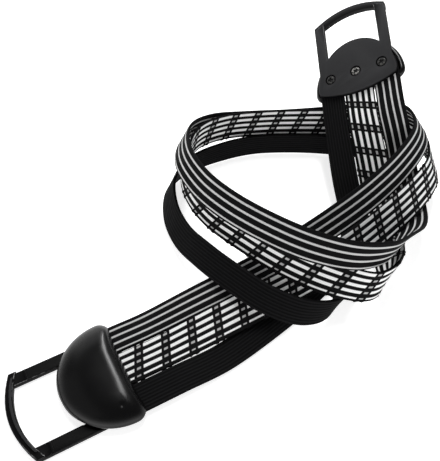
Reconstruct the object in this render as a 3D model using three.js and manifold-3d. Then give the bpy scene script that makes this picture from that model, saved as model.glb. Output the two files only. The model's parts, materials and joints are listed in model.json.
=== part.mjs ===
// Three-band elastic carrier strap: woven bands held side by side between two screwed hook clamps.
// Millimetres, +Z up. The first clamp lies flat on its plate; the second is laid turned over on the pile.
import * as THREE from "three";
import { mergeVertices } from "three/addons/utils/BufferGeometryUtils.js";
import Module from "manifold-3d";

const wasm = await Module();
wasm.setup();

// Fits, and how far joined and cutting bodies reach past a face
const CLEARANCE = 0.3;
const BITE = 1;
const ROUND_SIDES = 20;
const CURVE_SIDES = 14;

// Bands: the dashed one is wider than the striped one and the black one narrower
const BAND_WIDTH = 20;
const DASHED_WIDTH = BAND_WIDTH + 3;
const BLACK_WIDTH = BAND_WIDTH - 1;
const BAND_THICK = 2.2;
const BAND_SPACE = 0.6;
const BAND_CHAMFER = 0.7;
const BAND_STEPS = 80;
const BAND_DIVISIONS = 1200;
const BAND_PITCH = BAND_WIDTH + BAND_SPACE;
const BAND_HOLE = 4;
const BANDS_HALF = (BAND_WIDTH + DASHED_WIDTH + BLACK_WIDTH) / 2 + BAND_SPACE;
const STRIPED_LANE = BANDS_HALF - BAND_WIDTH / 2;
const DASHED_LANE = STRIPED_LANE - (BAND_WIDTH + DASHED_WIDTH) / 2 - BAND_SPACE;
const BLACK_LANE = BLACK_WIDTH / 2 - BANDS_HALF;

// Clamp plan: a half ellipse towards the hook, and a straight mouth for the bands with rounded corners
const CLAMP_CENTRE = -19.5;
const CLAMP_REACH = 36.2;
const CLAMP_SIDE = 4.6;
const CLAMP_MOUTH = -28.7;
const CLAMP_CORNER = 19;
const LEAST_CORNER = 1;
const CLAMP_HALF = BANDS_HALF + CLAMP_SIDE;
const MOUTH_CUT = 18;

// Plate
const PLATE_THICK = 3;
const PLATE_INSET = 4.8;
const PLATE_LAP = 0.4;
const PLATE_CHAMFER = 0.5;
const PLATE_CORNER = -22.5;
const PLATE_BOW = 6.5;

// Hook frame
const ARM_WIDTH = 8;
const ARM_THICK = 4;
const ARM_INSET = 7;
const ARM_ROOT = -6;
const ARM_OUT = CLAMP_HALF - ARM_INSET;
const ARM_IN = ARM_OUT - ARM_WIDTH;
const BAR_CORNER = 39.2;
const BAR_BOW = 8;
const BAR_WIDTH = 4.8;
const BAR_DEPTH = 6.2;
const BAR_SLOPE = 2;
const LIP_WIDTH = 1.4;
const LIP_RISE = 0.9;
const STEP_GAP = 4.5;
const STEP_WIDTH = 1.4;
const STEP_RISE = 0.6;
const FRAME_BEVEL = 0.6;

// Dome cover
const DOME_HEIGHT = 15;
const DOME_SKIRT = 1.2;
const DOME_WALL = 2.4;
const DOME_CREST = -17;
const DOME_RIDGE = 0.33;
const DOME_FULLNESS = 0.8;
const DOME_TAPER = 1;
const DOME_FLAT = 8;
const DOME_RINGS = 8;
const DOME_POINTS = 48;
const RIB_PLACE = -22;
const RIB_THICK = 2;

// Screws
const SCREW_PLACE = -11.5;
const SCREW_HEAD = 6.5;
const SCREW_HEAD_HEIGHT = 1.2;
const SCREW_EASE = 0.5;
const SCREW_SHANK = 2.6;
const SCREW_LENGTH = 11;
const SCREW_TIP = 1.2;
const SCREW_POINT = 1;
const RECESS_WIDTH = 8.6;
const RECESS_DEPTH = 1.6;
const SLOT_REACH = 4;
const SLOT_WIDTH = 0.9;
const SLOT_DEPTH = 0.8;
const BOSS_WIDTH = 7.5;

// Levels that follow from the stack of plate, bands and dome
const BAND_LEVEL = PLATE_THICK + CLEARANCE + BAND_THICK / 2;
const CEILING = PLATE_THICK + 2 * CLEARANCE + BAND_THICK;
const RIM = PLATE_THICK + CLEARANCE;
const BAND_END = 8.5;

// Rest pose of the second clamp: place of its plate, heading, pitch and roll in degrees
const SECOND_PLACE = new THREE.Vector3(277.5, 126, 70.5);
const SECOND_HEADING = 65;
const SECOND_PITCH = 22;
const SECOND_ROLL = 34.5;

// Laid route of each band between the clamps: x, y, z and roll in degrees
const STRIPED_ROUTE = [
  [82, 21.4, 8, 7], [114, 21, 12, 13], [150, 20, 19, 22], [190, 21, 29, 30], [225, 25, 37, 36],
  [258, 34, 43, 42], [286.5, 49, 45.5, 47], [300, 70, 42.5, 58], [298, 91, 35, 80], [280, 107, 28, 96],
  [253, 119.5, 25.5, 101], [223, 132, 25.5, 99], [193, 143, 28, 94], [163, 148, 34, 84],
  [138, 138.5, 42, 67], [122, 112, 48.5, 54], [118.5, 80, 52, 47], [123, 49, 56, 42], [135, 20, 57, 42],
  [152, -5, 55.5, 50], [174, -22, 51.3, 66], [199, -26, 44, 92], [221, -17, 33.5, 118],
  [242.5, -4.4, 22.2, 143], [258, 12.6, 16, 158], [266.8, 32.4, 21, 153], [273.2, 52.1, 36, 149],
];
const DASHED_ROUTE = [
  [82, -0.4, 6.6, 8], [114, -0.2, 9, 15], [150, -1, 13, 22], [190, 0, 20, 32], [225, 5, 27, 40],
  [258, 14, 30.5, 47], [288, 30, 28.5, 58], [304, 57, 24, 75], [294.5, 85, 23.5, 93], [265, 105.5, 25, 103],
  [233.5, 121.8, 26.5, 99], [201.5, 135.5, 28, 96], [172, 142.5, 30.5, 93], [146.5, 138, 33, 86],
  [128, 121, 31.5, 75], [121, 99, 29.5, 64], [122, 71, 29.5, 55], [131, 41, 31, 45], [144, 9, 32, 44],
  [161, -18, 32, 52], [182, -34, 28, 74], [202, -29, 21.5, 104], [218, -12, 13, 144], [232, 9, 8.5, 168],
  [243.5, 31, 11, 165], [251, 53.5, 27, 154],
];
const BLACK_ROUTE = [
  [82, -21.2, 2.4, 1], [114, -16, 2, 1], [145, -9, 2, 1], [180, 1.5, 2, 2], [212, 10, 2, 3],
  [243, 20, 2.8, 7], [266, 37, 8, 40], [279, 60, 10.8, 80], [271, 85, 10.4, 91], [247, 104.5, 10.4, 91],
  [221, 120.5, 10.4, 91], [193.5, 133, 10.4, 91], [165, 138, 10.4, 90], [138, 136.5, 10.4, 82],
  [116, 124, 10.2, 66], [104, 100, 9.8, 56], [100, 72, 13, 48], [103, 45, 19, 40], [110, 19, 22, 38],
  [122, -8, 21.5, 42], [140, -25, 17, 64], [162, -27, 11, 100], [184, -12, 10, 150], [206, 10.5, 7, 176],
  [222, 35.5, 8.5, 174], [231, 60.3, 21, 160],
];

// Axes of the second clamp: across to the black band, out to its hook, and from plate to dome
function secondAxes() {
  const heading = THREE.MathUtils.degToRad(SECOND_HEADING);
  const pitch = THREE.MathUtils.degToRad(SECOND_PITCH);
  const roll = THREE.MathUtils.degToRad(SECOND_ROLL);
  const flat = Math.cos(pitch);
  const out = new THREE.Vector3(flat * Math.cos(heading), flat * Math.sin(heading), Math.sin(pitch));
  const left = new THREE.Vector3(-Math.sin(heading), Math.cos(heading), 0);
  const up = new THREE.Vector3().crossVectors(out, left);
  const across = left.multiplyScalar(Math.cos(roll)).addScaledVector(up, -Math.sin(roll));
  const dome = new THREE.Vector3().crossVectors(across, out);
  return { across, out, dome };
}

// Solid body for cutting and joining, from any closed geometry
function solid(geometry) {
  const bare = geometry.clone();
  bare.deleteAttribute("normal");
  bare.deleteAttribute("uv");
  const welded = mergeVertices(bare, 1e-4);
  const index = Array.from(welded.index.array);
  const kept = [];
  for (let i = 0; i < index.length; i += 3) {
    const [a, b, c] = index.slice(i, i + 3);
    if (a !== b && b !== c && c !== a) {
      kept.push(a, b, c);
    }
  }
  const vertProperties = Float32Array.from(welded.attributes.position.array);
  return new wasm.Manifold(new wasm.Mesh({ numProp: 3, vertProperties, triVerts: Uint32Array.from(kept) }));
}

// Geometry of a finished solid body
function surface(body) {
  const mesh = body.getMesh();
  const geometry = new THREE.BufferGeometry();
  geometry.setAttribute("position", new THREE.BufferAttribute(Float32Array.from(mesh.vertProperties), 3));
  geometry.setIndex(Array.from(mesh.triVerts));
  geometry.computeVertexNormals();
  return geometry;
}

// Closed loft through plan outlines at rising levels
function loft(rings) {
  const count = rings[0].outline.length;
  const points = [];
  const faces = [];
  rings.forEach(({ outline, level }) => {
    outline.forEach((p) => points.push(p.x, p.y, level));
  });
  for (let r = 0; r < rings.length - 1; r += 1) {
    for (let i = 0; i < count; i += 1) {
      const j = (i + 1) % count;
      const low = r * count;
      const high = low + count;
      faces.push(low + i, low + j, high + j, low + i, high + j, high + i);
    }
  }
  const top = (rings.length - 1) * count;
  THREE.ShapeUtils.triangulateShape(rings[0].outline, []).forEach(([a, b, c]) => faces.push(a, c, b));
  THREE.ShapeUtils.triangulateShape(rings[rings.length - 1].outline, []).forEach(([a, b, c]) => {
    faces.push(top + a, top + b, top + c);
  });
  const geometry = new THREE.BufferGeometry();
  geometry.setAttribute("position", new THREE.Float32BufferAttribute(points, 3));
  geometry.setIndex(faces);
  return solid(geometry);
}

// Extruded plan shape standing on a level, with its edges eased
function slab(shape, level, height, ease) {
  const geometry = new THREE.ExtrudeGeometry(shape, {
    depth: height - 2 * ease,
    curveSegments: CURVE_SIDES,
    bevelEnabled: ease > 0,
    bevelThickness: ease,
    bevelSize: ease,
    bevelOffset: -ease,
    bevelSegments: 2,
  });
  geometry.translate(0, 0, level + ease);
  return solid(geometry);
}

function block(width, length, low, high, x, y) {
  const geometry = new THREE.BoxGeometry(width, length, high - low);
  geometry.translate(x, y, (low + high) / 2);
  return solid(geometry);
}

function rod(diameter, low, high, x, y) {
  const geometry = new THREE.CylinderGeometry(diameter / 2, diameter / 2, high - low, ROUND_SIDES);
  geometry.rotateX(Math.PI / 2);
  geometry.translate(x, y, (low + high) / 2);
  return solid(geometry);
}

// Plan of the dome, drawn in by an inset
function domePlan(inset) {
  const half = CLAMP_HALF - inset;
  const mouth = CLAMP_MOUTH + inset;
  const corner = Math.max(CLAMP_CORNER - inset, LEAST_CORNER);
  const deep = CLAMP_CENTRE - mouth;
  const shape = new THREE.Shape();
  shape.moveTo(half, CLAMP_CENTRE);
  shape.absellipse(0, CLAMP_CENTRE, half, CLAMP_REACH - inset, 0, Math.PI, false, 0);
  shape.absellipse(corner - half, CLAMP_CENTRE, corner, deep, Math.PI, 1.5 * Math.PI, false, 0);
  shape.lineTo(half - corner, mouth);
  shape.absellipse(half - corner, CLAMP_CENTRE, corner, deep, 1.5 * Math.PI, 2 * Math.PI, false, 0);
  return shape.getSpacedPoints(DOME_POINTS).slice(0, DOME_POINTS);
}

// Plan of the plate, with its bowed edge at the bands
function platePlan(inset) {
  const half = CLAMP_HALF - PLATE_INSET - inset;
  const edge = PLATE_CORNER + inset;
  const shape = new THREE.Shape();
  shape.moveTo(half, CLAMP_CENTRE);
  shape.absellipse(0, CLAMP_CENTRE, half, CLAMP_REACH - PLATE_LAP - inset, 0, Math.PI, false, 0);
  shape.lineTo(-half, edge);
  shape.quadraticCurveTo(0, edge - 2 * PLATE_BOW, half, edge);
  shape.closePath();
  return shape.getSpacedPoints(DOME_POINTS).slice(0, DOME_POINTS);
}

// Domed hull from a plan: a short skirt, then rings drawn in towards a ridge across the clamp
function domeHull(inset, base) {
  const plan = domePlan(inset);
  const rings = [{ outline: plan, level: base }];
  const shoulder = RIM + DOME_SKIRT;
  const rise = DOME_HEIGHT - inset - shoulder;
  const left = DOME_FLAT / (CLAMP_CENTRE + CLAMP_REACH - CLAMP_MOUTH);
  const close = Math.acos(left ** (1 / DOME_FULLNESS));
  for (let k = 0; k <= DOME_RINGS; k += 1) {
    const turn = (close * k) / DOME_RINGS;
    const draw = Math.cos(turn) ** DOME_FULLNESS;
    const narrow = DOME_RIDGE + (1 - DOME_RIDGE) * Math.cos(turn) ** DOME_TAPER;
    const crestward = (y) => DOME_CREST + (y - DOME_CREST) * draw;
    const outline = plan.map((p) => new THREE.Vector2(p.x * narrow, crestward(p.y)));
    rings.push({ outline, level: shoulder + rise * Math.sin(turn) });
  }
  return loft(rings);
}

function screwPlaces() {
  return [-BAND_PITCH, 0, BAND_PITCH];
}

// Outer edge of the arched crossbar at a place across it
function barEdge(x) {
  return BAR_CORNER + BAR_BOW * (1 - (x / ARM_OUT) ** 2);
}

// Arc of the crossbar between two edges set in from the outer one
function barShape(half, outer, inner) {
  const shape = new THREE.Shape();
  const top = barEdge(half) - outer;
  const low = barEdge(half) - inner;
  const bow = BAR_BOW * (half / ARM_OUT) ** 2;
  shape.moveTo(half, low);
  shape.lineTo(half, top);
  shape.quadraticCurveTo(0, top + 2 * bow, -half, top);
  shape.lineTo(-half, low);
  shape.quadraticCurveTo(0, low + 2 * bow, half, low);
  return shape;
}

// Arched crossbar with eased edges, sloped back on its inner side at the plate's face
function crossbar() {
  const ring = (level, ease, slope) => {
    const shape = barShape(ARM_OUT - ease, ease, BAR_WIDTH - slope);
    return { outline: shape.getPoints(CURVE_SIDES).slice(0, -1), level };
  };
  return loft([
    ring(0, FRAME_BEVEL, BAR_SLOPE),
    ring(FRAME_BEVEL, 0, BAR_SLOPE - FRAME_BEVEL),
    ring(BAR_SLOPE, 0, 0),
    ring(BAR_DEPTH - FRAME_BEVEL, 0, 0),
    ring(BAR_DEPTH, FRAME_BEVEL, FRAME_BEVEL),
  ]);
}

// Plate, arms and crossbar in one moulding
function hookFrame() {
  const plate = loft([
    { outline: platePlan(PLATE_CHAMFER), level: 0 },
    { outline: platePlan(0), level: PLATE_CHAMFER },
    { outline: platePlan(0), level: PLATE_THICK },
  ]);
  const seat = loft([
    { outline: domePlan(-CLEARANCE), level: PLATE_THICK },
    { outline: domePlan(-CLEARANCE), level: DOME_HEIGHT },
  ]);
  let frame = plate;
  const armEnd = barEdge(ARM_OUT) - BAR_WIDTH / 2;
  const inEnd = barEdge(ARM_IN) - BAR_WIDTH / 2;
  const stepEdge = barEdge(ARM_OUT) - BAR_WIDTH - STEP_GAP;
  [-1, 1].forEach((side) => {
    const arm = new THREE.Shape();
    arm.moveTo(side * ARM_OUT, ARM_ROOT);
    arm.lineTo(side * ARM_OUT, armEnd);
    arm.lineTo(side * ARM_IN, inEnd);
    arm.lineTo(side * ARM_IN, ARM_ROOT);
    arm.closePath();
    frame = frame.add(slab(arm, 0, ARM_THICK, FRAME_BEVEL).subtract(seat));
    const middle = (side * (ARM_OUT + ARM_IN)) / 2;
    const stepAcross = ARM_WIDTH - 2 * FRAME_BEVEL;
    frame = frame.add(
      block(stepAcross, STEP_WIDTH, ARM_THICK - BITE, ARM_THICK + STEP_RISE, middle, stepEdge),
    );
  });
  frame = frame.add(crossbar());
  const lipEdge = BAR_WIDTH - FRAME_BEVEL;
  const lip = barShape(ARM_IN + ARM_WIDTH / 2, lipEdge - LIP_WIDTH, lipEdge);
  frame = frame.add(slab(lip, BAR_DEPTH - BITE, LIP_RISE + BITE, 0));
  screwPlaces().forEach((x) => {
    frame = frame.subtract(rod(RECESS_WIDTH, -BITE, RECESS_DEPTH, x, SCREW_PLACE));
    frame = frame.subtract(rod(SCREW_SHANK + 2 * CLEARANCE, -BITE, PLATE_THICK + BITE, x, SCREW_PLACE));
  });
  return surface(frame);
}

// Hollow cover with screw bosses, a rib over the bands and a mouth slot
function domeCover() {
  const outer = domeHull(0, RIM);
  let cover = outer.subtract(domeHull(DOME_WALL, RIM - BITE));
  const across = 2 * (BANDS_HALF + CLEARANCE);
  let inside = block(across + CLAMP_SIDE, RIB_THICK, CEILING, DOME_HEIGHT, 0, RIB_PLACE);
  screwPlaces().forEach((x) => {
    inside = inside.add(rod(BOSS_WIDTH, CEILING, DOME_HEIGHT, x, SCREW_PLACE));
  });
  cover = cover.add(inside.intersect(outer));
  cover = cover.subtract(block(across, MOUTH_CUT, 0, CEILING, 0, CLAMP_MOUTH));
  const bore = SCREW_SHANK + 2 * CLEARANCE;
  screwPlaces().forEach((x) => {
    cover = cover.subtract(rod(bore, 0, SCREW_LENGTH + 2 * CLEARANCE, x, SCREW_PLACE));
  });
  return surface(cover);
}

// Cross-head screw, head in the plate's recess and shank up into its boss
function crossScrew() {
  const head = RECESS_DEPTH - CLEARANCE;
  const face = head - SCREW_HEAD_HEIGHT;
  const profile = [
    [0, face], [SCREW_HEAD / 2 - SCREW_EASE, face], [SCREW_HEAD / 2, face + SCREW_EASE],
    [SCREW_HEAD / 2, head], [SCREW_SHANK / 2, head], [SCREW_SHANK / 2, SCREW_LENGTH - SCREW_TIP],
    [SCREW_POINT / 2, SCREW_LENGTH], [0, SCREW_LENGTH],
  ].map(([r, z]) => new THREE.Vector2(r, z));
  const geometry = new THREE.LatheGeometry(profile, ROUND_SIDES);
  geometry.rotateX(Math.PI / 2);
  let body = solid(geometry);
  body = body.subtract(block(SLOT_REACH, SLOT_WIDTH, face - BITE, face + SLOT_DEPTH, 0, 0));
  body = body.subtract(block(SLOT_WIDTH, SLOT_REACH, face - BITE, face + SLOT_DEPTH, 0, 0));
  return surface(body);
}

// Smooth path through stations that carry a place and a roll about the path
class BandPath extends THREE.CatmullRomCurve3 {
  constructor(stations) {
    super(stations.map(([x, y, z]) => new THREE.Vector3(x, y, z)), false, "catmullrom", 0.5);
    const rolls = stations.map((s) => new THREE.Vector3(s[3], 0, 0));
    this.rolls = new THREE.CatmullRomCurve3(rolls, false, "catmullrom", 0.5);
  }

  computeFrenetFrames(segments) {
    const tangents = [];
    const normals = [];
    const binormals = [];
    for (let i = 0; i <= segments; i += 1) {
      const t = this.getUtoTmapping(i / segments);
      const along = this.getTangent(t);
      const left = new THREE.Vector3(0, 0, 1).cross(along).normalize();
      const up = new THREE.Vector3().crossVectors(along, left);
      const roll = THREE.MathUtils.degToRad(this.rolls.getPoint(t).x);
      const wide = left.multiplyScalar(Math.cos(roll)).addScaledVector(up, Math.sin(roll));
      tangents.push(along);
      normals.push(wide);
      binormals.push(new THREE.Vector3().crossVectors(along, wide));
    }
    return { tangents, normals, binormals };
  }
}

// Band section with eased edges
function bandSection(width) {
  const half = width / 2;
  const rise = BAND_THICK / 2;
  const ease = Math.min(BAND_CHAMFER, BAND_THICK / 3);
  return new THREE.Shape([
    [half, ease - rise], [half, rise - ease], [half - ease, rise], [ease - half, rise],
    [-half, rise - ease], [-half, ease - rise], [ease - half, -rise], [half - ease, -rise],
  ].map(([x, y]) => new THREE.Vector2(x, y)));
}

// One band from its end in the first clamp, along its route, to its end in the second
function band(route, width, y, screw, axes) {
  const leave = BITE - CLAMP_MOUTH;
  const straight = [BAND_END, leave, 2 * leave - BAND_END];
  const stations = straight.map((x) => [x, y, BAND_LEVEL, 0]);
  stations.push(...route);
  const base = SECOND_PLACE.clone().addScaledVector(axes.across, -y).addScaledVector(axes.dome, BAND_LEVEL);
  straight.reverse().forEach((back) => {
    const p = base.clone().addScaledVector(axes.out, -back);
    stations.push([p.x, p.y, p.z, 180 - SECOND_ROLL]);
  });
  const path = new BandPath(stations);
  path.arcLengthDivisions = BAND_DIVISIONS;
  const geometry = new THREE.ExtrudeGeometry(bandSection(width), {
    steps: BAND_STEPS,
    bevelEnabled: false,
    extrudePath: path,
  });
  let body = solid(geometry);
  const punch = rod(BAND_HOLE, -BAND_THICK, BAND_THICK, 0, 0);
  body = body.subtract(punch.translate([-SCREW_PLACE, screw, BAND_LEVEL]));
  const turn = new THREE.Matrix4().makeBasis(axes.across, axes.out, axes.dome);
  const held = base.clone().addScaledVector(axes.out, SCREW_PLACE).addScaledVector(axes.across, y - screw);
  turn.setPosition(held);
  body = body.subtract(punch.transform(turn.elements));
  return surface(body);
}

function piece(name, geometry, colour, roughness, metalness) {
  const material = new THREE.MeshStandardMaterial({ color: colour, roughness, metalness });
  const mesh = new THREE.Mesh(geometry, material);
  mesh.name = name;
  return mesh;
}

// One clamp: hook frame, dome cover and its row of screws
function clamp(end) {
  const group = new THREE.Group();
  group.name = `end_${end}`;
  group.add(piece(`hook_frame_${end}`, hookFrame(), 0x2b2c2e, 0.7, 0));
  group.add(piece(`dome_cover_${end}`, domeCover(), 0x141415, 0.4, 0));
  screwPlaces().forEach((x, i) => {
    const screw = piece(`screw_${end}_${i + 1}`, crossScrew(), 0x3a3a3c, 0.35, 1);
    screw.position.set(x, SCREW_PLACE, 0);
    group.add(screw);
  });
  return group;
}

function carrierStrap() {
  const strap = new THREE.Group();
  strap.name = "carrier_strap";
  const flat = clamp("a");
  flat.rotation.z = Math.PI / 2;
  const axes = secondAxes();
  const turned = clamp("b");
  const turn = new THREE.Matrix4().makeBasis(axes.across, axes.out, axes.dome);
  turned.quaternion.setFromRotationMatrix(turn);
  turned.position.copy(SECOND_PLACE);
  strap.add(flat, turned);
  const [last, middle, first] = screwPlaces();
  const striped = band(STRIPED_ROUTE, BAND_WIDTH, STRIPED_LANE, first, axes);
  const dashed = band(DASHED_ROUTE, DASHED_WIDTH, DASHED_LANE, middle, axes);
  const black = band(BLACK_ROUTE, BLACK_WIDTH, BLACK_LANE, last, axes);
  strap.add(piece("band_striped", striped, 0x2a2a2c, 0.85, 0));
  strap.add(piece("band_dashed", dashed, 0xb8b8b8, 0.85, 0));
  strap.add(piece("band_black", black, 0x111112, 0.85, 0));
  return strap;
}

export default carrierStrap();
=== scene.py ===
"""Dresses the three-band elastic carrier strap: woven bands, dome covers, hook mouldings and screws.

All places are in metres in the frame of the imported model. Sizes of the object are written in
millimetres and multiplied by MM.
"""

import json
import logging
import math
from dataclasses import dataclass, field
from enum import Enum
from typing import Any, ClassVar, Mapping, Sequence, Union

import bmesh
import bpy
import numpy as np
from mathutils import Matrix, Vector
from mathutils.geometry import tessellate_polygon


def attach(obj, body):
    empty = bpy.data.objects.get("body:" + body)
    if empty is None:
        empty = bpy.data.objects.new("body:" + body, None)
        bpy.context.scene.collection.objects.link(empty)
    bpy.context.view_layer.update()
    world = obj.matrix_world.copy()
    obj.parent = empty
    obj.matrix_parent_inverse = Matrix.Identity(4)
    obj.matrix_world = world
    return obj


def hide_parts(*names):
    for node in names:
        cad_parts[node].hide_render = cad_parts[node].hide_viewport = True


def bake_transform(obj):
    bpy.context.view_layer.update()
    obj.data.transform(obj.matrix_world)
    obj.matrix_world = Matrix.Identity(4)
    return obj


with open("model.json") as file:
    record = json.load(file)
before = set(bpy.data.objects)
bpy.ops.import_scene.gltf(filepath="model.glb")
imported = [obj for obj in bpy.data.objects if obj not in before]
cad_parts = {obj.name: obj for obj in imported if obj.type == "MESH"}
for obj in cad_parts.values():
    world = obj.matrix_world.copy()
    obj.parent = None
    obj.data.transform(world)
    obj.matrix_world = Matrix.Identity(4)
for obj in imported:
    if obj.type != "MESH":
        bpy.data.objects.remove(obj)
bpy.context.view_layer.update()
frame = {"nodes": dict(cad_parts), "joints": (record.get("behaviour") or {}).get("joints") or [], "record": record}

MM = 0.001
PHOTO_SIZE = (440, 461)

log = logging.getLogger("strap")

Colour = tuple[float, float, float]
Point = tuple[float, float, float]
Pair = tuple[float, float]
Station = tuple[float, float, float, float]
Number = Union["Value", float]


class Graph:
    """A node tree under construction, for a material, the surround or Geometry Nodes."""

    def __init__(self, tree: bpy.types.NodeTree) -> None:
        """Starts on a tree with none of its default nodes."""
        self.tree = tree
        tree.nodes.clear()

    def add(
        self,
        kind: str,
        sockets: Mapping[str | int, Any] | None = None,
        output: str | int = 0,
        **settings: Any,
    ) -> "Value":
        """Adds one node.

        Args:
            kind: the node's type.
            sockets: values or links of its inputs, by name or by number.
            output: the output that the result stands for.
            **settings: properties of the node, set before its sockets.

        Returns:
            The chosen output, ready for expressions.
        """
        node = self.tree.nodes.new(kind)
        for name, value in settings.items():
            setattr(node, name, value)
        for key, value in (sockets or {}).items():
            if isinstance(value, Value):
                self.tree.links.new(value.socket, node.inputs[key])
            else:
                node.inputs[key].default_value = value
        return Value(self, node, output)

    def attribute(self, name: str) -> "Value":
        """A number stored on the mesh."""
        return self.add("ShaderNodeAttribute", None, "Fac", attribute_name=name)

    def grain(self, scale: float, detail: float = 2.0) -> "Value":
        """Noise on the piece's own coordinates, from 0 to 1."""
        place = self.add("ShaderNodeTexCoord", None, "Object")
        return self.add("ShaderNodeTexNoise", {"Vector": place, "Scale": scale, "Detail": detail}, "Fac")

    def bump(self, strength: float, depth: float, height: "Value") -> "Value":
        """Normals of a fine relief."""
        return self.add("ShaderNodeBump", {"Strength": strength, "Distance": depth, "Height": height})

    def mix(self, factor: Number, low: Any, high: Any) -> "Value":
        """Colour between two colours, each a constant or a link."""
        sockets = {0: factor, 6: opaque(low), 7: opaque(high)}
        return self.add("ShaderNodeMix", sockets, 2, data_type="RGBA")


@dataclass(frozen=True)
class Value:
    """One output of a node, with operators that add Math nodes."""

    graph: Graph
    node: bpy.types.Node
    output: str | int

    @property
    def socket(self) -> bpy.types.NodeSocket:
        """The output's socket, which a closing node doesn't have."""
        return self.node.outputs[self.output]

    def out(self, output: str | int) -> "Value":
        """Another output of the same node."""
        return Value(self.graph, self.node, output)

    def calc(self, operation: str, *others: Number) -> "Value":
        """A Math node on this value and others."""
        return self.graph.add("ShaderNodeMath", dict(enumerate((self, *others))), operation=operation)

    def __add__(self, other: Number) -> "Value":
        """Sum."""
        return self.calc("ADD", other)

    __radd__ = __add__

    def __sub__(self, other: Number) -> "Value":
        """Difference."""
        return self.calc("SUBTRACT", other)

    def __rsub__(self, other: float) -> "Value":
        """Difference, number first."""
        return self.graph.add("ShaderNodeMath", {0: other, 1: self}, operation="SUBTRACT")

    def __mul__(self, other: Number) -> "Value":
        """Product."""
        return self.calc("MULTIPLY", other)

    def __truediv__(self, other: Number) -> "Value":
        """Quotient."""
        return self.calc("DIVIDE", other)

    def __mod__(self, other: Number) -> "Value":
        """Remainder, never negative."""
        return self.calc("FLOORED_MODULO", other)

    def __abs__(self) -> "Value":
        """Size without sign."""
        return self.calc("ABSOLUTE")

    def fade(self, low: Number, high: Number) -> "Value":
        """Smooth step from 0 at low to 1 at high."""
        sockets = {"Value": self, "From Min": low, "From Max": high}
        return self.graph.add("ShaderNodeMapRange", sockets, interpolation_type="SMOOTHSTEP")

    def wave(self, length: Number) -> "Value":
        """Triangle wave of a distance: 0 at each whole length, 1 half way between."""
        return 1 - abs((self / length) % 1.0 * 2 - 1)


def opaque(colour: Any) -> Any:
    """A colour with its alpha, or a link as it is."""
    return colour if isinstance(colour, Value) else (*colour, 1.0)


def scaled(colour: Colour, factor: float) -> Colour:
    """A colour made lighter or darker, no lighter than white."""
    return tuple(min(1.0, factor * c) for c in colour)


class Weave(Enum):
    """How the light warp of a band shows."""

    PLAIN = "plain"
    LINES = "lines"
    DASHES = "dashes"


@dataclass(frozen=True)
class RowPattern:
    """Light warp rows across a band, in metres from its free edge."""

    first: float = 0.0
    pitch: float = 0.0048
    count: int = 0
    width: float = 0.0016
    last_width: float = 0.0016
    rise: float = 0.0
    softness: float = 0.00018


@dataclass(frozen=True)
class DashPattern:
    """Black weft ticks that cut rows into a long and a short dash, in metres along a band."""

    period: float = 0.0186
    tick: float = 0.0018
    short: float = 0.0026
    softness: float = 0.0002
    start: float = 0.0097

    def numbers(self) -> dict[str, float]:
        """The pattern as the numbers that tick_mask reads."""
        return {
            "period": self.period,
            "first_tick": self.tick / 2,
            "second_tick": self.tick * 1.5 + self.short,
            "half": self.tick / 2,
            "softness": self.softness,
        }


@dataclass(frozen=True)
class RibPattern:
    """Lengthwise ribs of the ground weave."""

    count: float
    rise: float


def row_mask(across: Value, rows: Mapping[str, Number]) -> Value:
    """How much of a light row lies at a place across a band.

    Args:
        across: distance from the free edge in metres.
        rows: first, pitch, count, width, last width and softness, as numbers or group inputs.

    Returns:
        1 in a row, 0 between rows.
    """
    place = (across - rows["first"]) / rows["pitch"]
    last = rows["count"] - 1
    nearest = place.calc("ROUND").calc("MAXIMUM", 0.0).calc("MINIMUM", last)
    distance = abs(place - nearest) * rows["pitch"]
    is_last = nearest.calc("GREATER_THAN", last - 0.5)
    half = (rows["width"] + is_last * (rows["last_width"] - rows["width"])) / 2
    return 1 - distance.fade(half - rows["softness"], half + rows["softness"])


def tick_mask(along: Value, dashes: Mapping[str, Number]) -> Value:
    """How much of a weft tick lies at a place along a band.

    Args:
        along: place along the wrap of the ticks in metres.
        dashes: period, the places of both ticks, half a tick and softness, as numbers or group inputs.

    Returns:
        1 in a tick, 0 in a dash.
    """
    phase = along % dashes["period"]
    low = dashes["half"] - dashes["softness"]
    high = dashes["half"] + dashes["softness"]
    first = abs(phase - dashes["first_tick"]).fade(low, high)
    second = abs(phase - dashes["second_tick"]).fade(low, high)
    return 1 - first * second


class Finish:
    """Base of the finishes: makes one named node material."""

    name: str

    def paint(self, graph: Graph) -> dict[str, Any]:
        """Values and links of the surface shader, made in the material's graph."""
        raise NotImplementedError

    def material(self) -> bpy.types.Material:
        """Makes the material.

        Returns:
            The finished material.
        """
        material = bpy.data.materials.new(self.name)
        material.use_nodes = True
        graph = Graph(material.node_tree)
        surface = graph.add("ShaderNodeBsdfPrincipled", self.paint(graph))
        graph.add("ShaderNodeOutputMaterial", {"Surface": surface})
        return material


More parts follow.
